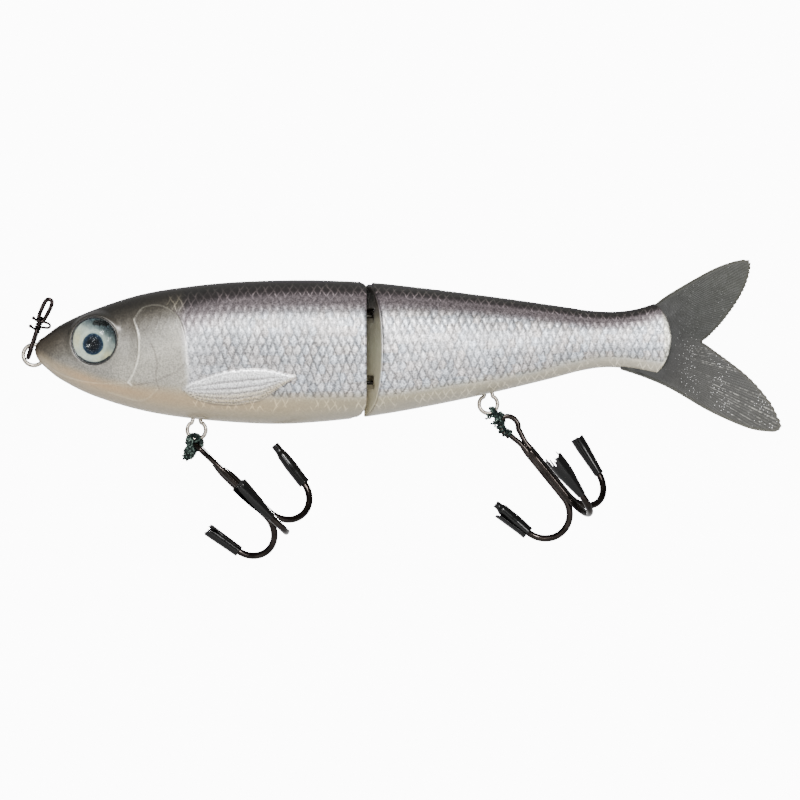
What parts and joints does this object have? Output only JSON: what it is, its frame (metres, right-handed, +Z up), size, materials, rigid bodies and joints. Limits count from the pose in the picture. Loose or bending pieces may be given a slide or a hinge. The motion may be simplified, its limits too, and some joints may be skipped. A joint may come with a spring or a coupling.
{
  "type": "jointed swimbait",
  "caption": "Hard-bodied fishing lure shaped like a scaled baitfish, hinged mid-body, with a soft forked tail, guarded treble hooks on cord ties and a wire line snap.",
  "frame": {"origin": "centre of the wire ring at the nose, where the line is tied", "axes": "+X from nose to tail, +Y to the lure's right side, +Z up towards its back"},
  "size_m": [0.2026, 0.031, 0.0799],
  "materials": {
    "body_paint": "satin",
    "eye_print": "gloss",
    "eye_dome": "gloss",
    "bright_wire": "gloss",
    "ballast_metal": "matt",
    "snap_wire": "gloss",
    "soft_tail": "satin",
    "twine": "matt",
    "hook_nickel": "gloss",
    "guard_tube": "satin"
  },
  "bodies": {
    "front_body": {"front_shell_left": "body_paint", "front_shell_right": "body_paint", "eye_iris_left": "eye_print", "eye_iris_right": "eye_print", "eye_lens_left": "eye_dome", "eye_lens_right": "eye_dome", "nose_ring": "bright_wire", "front_hook_hanger": "bright_wire", "upper_hinge_eye": "bright_wire", "lower_hinge_eye": "bright_wire", "front_ballast": "ballast_metal"},
    "snap": {"line_snap": "snap_wire"},
    "rear_body": {"rear_shell_left": "body_paint", "rear_shell_right": "body_paint", "hinge_pin": "bright_wire", "rear_hook_hanger": "bright_wire", "rear_ballast": "ballast_metal", "tail_root": "soft_tail"},
    "tail": {"tail_fin": "soft_tail"},
    "front_tie": {"front_hook_tie": "twine"},
    "front_hook": {"front_treble_hook": "hook_nickel", "front_point_guard_1": "guard_tube", "front_point_guard_2": "guard_tube", "front_point_guard_3": "guard_tube"},
    "rear_tie": {"rear_hook_tie": "twine"},
    "rear_hook": {"rear_treble_hook": "hook_nickel", "rear_point_guard_1": "guard_tube", "rear_point_guard_2": "guard_tube", "rear_point_guard_3": "guard_tube"}
  },
  "joints": [
    {"name": "body_hinge", "type": "hinge", "parent": "front_body", "child": "rear_body", "pos_m": [0.0935, 0, 0], "axis": [0, 0, 1], "range_deg": [-16, 16]},
    {"name": "tail_flex", "type": "hinge", "parent": "rear_body", "child": "tail", "pos_m": [0.1722, 0, 0], "axis": [0, 0, 1], "range_deg": [-28, 28], "stiffness_Nm_per_rad": 0.02},
    {"name": "snap_swing", "type": "hinge", "parent": "front_body", "child": "snap", "pos_m": [0, 0, 0], "axis": [0, 1, 0], "range_deg": [-60, 0]},
    {"name": "front_tie_swing", "type": "hinge", "parent": "front_body", "child": "front_tie", "pos_m": [0.0434, 0, -0.02], "axis": [0, 1, 0], "range_deg": [-8, 80]},
    {"name": "front_hook_swing", "type": "hinge", "parent": "front_tie", "child": "front_hook", "pos_m": [0.04501, 0, -0.02554], "axis": [0.6947, 0, 0.7193], "range_deg": [-30, 30]},
    {"name": "rear_tie_swing", "type": "hinge", "parent": "rear_body", "child": "rear_tie", "pos_m": [0.1212, 0, -0.0131], "axis": [0, 1, 0], "range_deg": [-12, 56]},
    {"name": "rear_hook_swing", "type": "hinge", "parent": "rear_tie", "child": "rear_hook", "pos_m": [0.1268, 0, -0.0189], "axis": [0, 1, 0], "range_deg": [-15, 28]}
  ]
}
